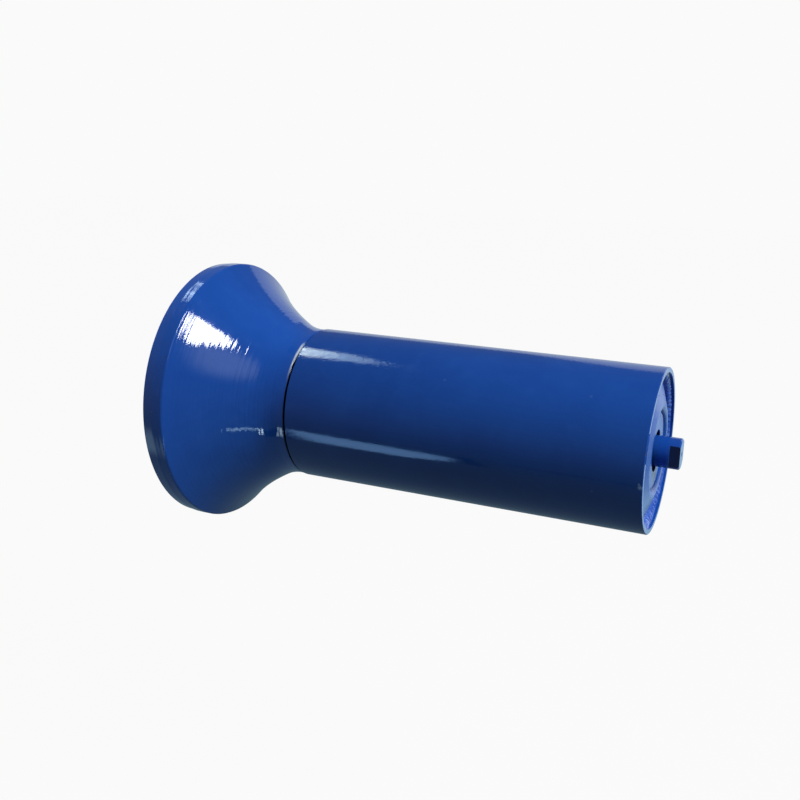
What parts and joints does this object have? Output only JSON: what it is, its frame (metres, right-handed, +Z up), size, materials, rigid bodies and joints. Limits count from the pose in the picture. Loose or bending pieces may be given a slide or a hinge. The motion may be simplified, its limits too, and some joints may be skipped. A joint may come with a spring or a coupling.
{
  "type": "flared conveyor roller",
  "caption": "Blue steel conveyor roller with a separate bell-mouthed guide wheel beside it, both turning on sealed ball bearings on a fixed shaft with milled flats.",
  "frame": {"origin": "middle of the shaft, on its axis", "axes": "+X along the shaft from the bell to the plain end, +Y across the flats away from the camera side, +Z up"},
  "size_m": [0.443, 0.2366, 0.2366],
  "materials": {
    "tube_paint": "gloss blue machine enamel",
    "bell_paint": "gloss blue machine enamel over turned steel",
    "end_paint": "gloss blue machine enamel over pressed steel",
    "weld_paint": "gloss blue machine enamel over weld ripples",
    "shaft_paint": "gloss blue machine enamel",
    "bearing_steel": "ground",
    "ball_steel": "polished",
    "cage_nylon": "moulded",
    "seal_nylon": "moulded",
    "spring_steel": "phosphated"
  },
  "bodies": {
    "shaft": {"shaft": "shaft_paint", "middle_spacer": "bearing_steel", "bell_spacer": "bearing_steel", "plain_end_inner_ring": "bearing_steel", "plain_end_fixed_labyrinth": "seal_nylon", "tube_seam_inner_ring": "bearing_steel", "tube_seam_fixed_labyrinth": "seal_nylon", "bell_seam_inner_ring": "bearing_steel", "bell_seam_fixed_labyrinth": "seal_nylon", "bell_end_inner_ring": "bearing_steel", "bell_end_fixed_labyrinth": "seal_nylon", "plain_end_circlip": "spring_steel", "bell_end_circlip": "spring_steel"},
    "tube": {"tube": "tube_paint", "plain_end_housing": "end_paint", "plain_end_housing_weld": "weld_paint", "plain_end_outer_ring": "bearing_steel", "plain_end_grease_retainer": "seal_nylon", "plain_end_turning_labyrinth": "seal_nylon", "tube_seam_housing": "end_paint", "tube_seam_housing_weld": "weld_paint", "tube_seam_outer_ring": "bearing_steel", "tube_seam_grease_retainer": "seal_nylon", "tube_seam_turning_labyrinth": "seal_nylon", "plain_end_dust_cover": "end_paint"},
    "bell": {"bell": "bell_paint", "bell_disc": "end_paint", "bell_disc_weld": "weld_paint", "bell_seam_housing": "end_paint", "bell_seam_housing_weld": "weld_paint", "bell_seam_outer_ring": "bearing_steel", "bell_seam_grease_retainer": "seal_nylon", "bell_seam_turning_labyrinth": "seal_nylon", "bell_end_housing": "end_paint", "bell_end_housing_weld": "weld_paint", "bell_end_outer_ring": "bearing_steel", "bell_end_grease_retainer": "seal_nylon", "bell_end_turning_labyrinth": "seal_nylon", "bell_end_dust_cover": "end_paint"},
    "plain_end_ball_set": {"plain_end_balls": "ball_steel", "plain_end_cage": "cage_nylon"},
    "tube_seam_ball_set": {"tube_seam_balls": "ball_steel", "tube_seam_cage": "cage_nylon"},
    "bell_seam_ball_set": {"bell_seam_balls": "ball_steel", "bell_seam_cage": "cage_nylon"},
    "bell_end_ball_set": {"bell_end_balls": "ball_steel", "bell_end_cage": "cage_nylon"}
  },
  "joints": [
    {"name": "tube_spin", "type": "hinge", "parent": "shaft", "child": "tube", "pos_m": [0, 0, 0], "axis": [1, 0, 0], "continuous": true},
    {"name": "bell_spin", "type": "hinge", "parent": "shaft", "child": "bell", "pos_m": [0, 0, 0], "axis": [1, 0, 0], "continuous": true},
    {"name": "plain_end_ball_set_spin", "type": "hinge", "parent": "shaft", "child": "plain_end_ball_set", "pos_m": [0, 0, 0], "axis": [1, 0, 0], "continuous": true},
    {"name": "tube_seam_ball_set_spin", "type": "hinge", "parent": "shaft", "child": "tube_seam_ball_set", "pos_m": [0, 0, 0], "axis": [1, 0, 0], "continuous": true},
    {"name": "bell_seam_ball_set_spin", "type": "hinge", "parent": "shaft", "child": "bell_seam_ball_set", "pos_m": [0, 0, 0], "axis": [1, 0, 0], "continuous": true},
    {"name": "bell_end_ball_set_spin", "type": "hinge", "parent": "shaft", "child": "bell_end_ball_set", "pos_m": [0, 0, 0], "axis": [1, 0, 0], "continuous": true}
  ],
  "couplings": [
    {"joint": "plain_end_ball_set_spin", "follows": "tube_spin", "ratio": 0.63218},
    {"joint": "tube_seam_ball_set_spin", "follows": "tube_spin", "ratio": 0.63218},
    {"joint": "bell_seam_ball_set_spin", "follows": "bell_spin", "ratio": 0.63218},
    {"joint": "bell_end_ball_set_spin", "follows": "bell_spin", "ratio": 0.63218}
  ]
}
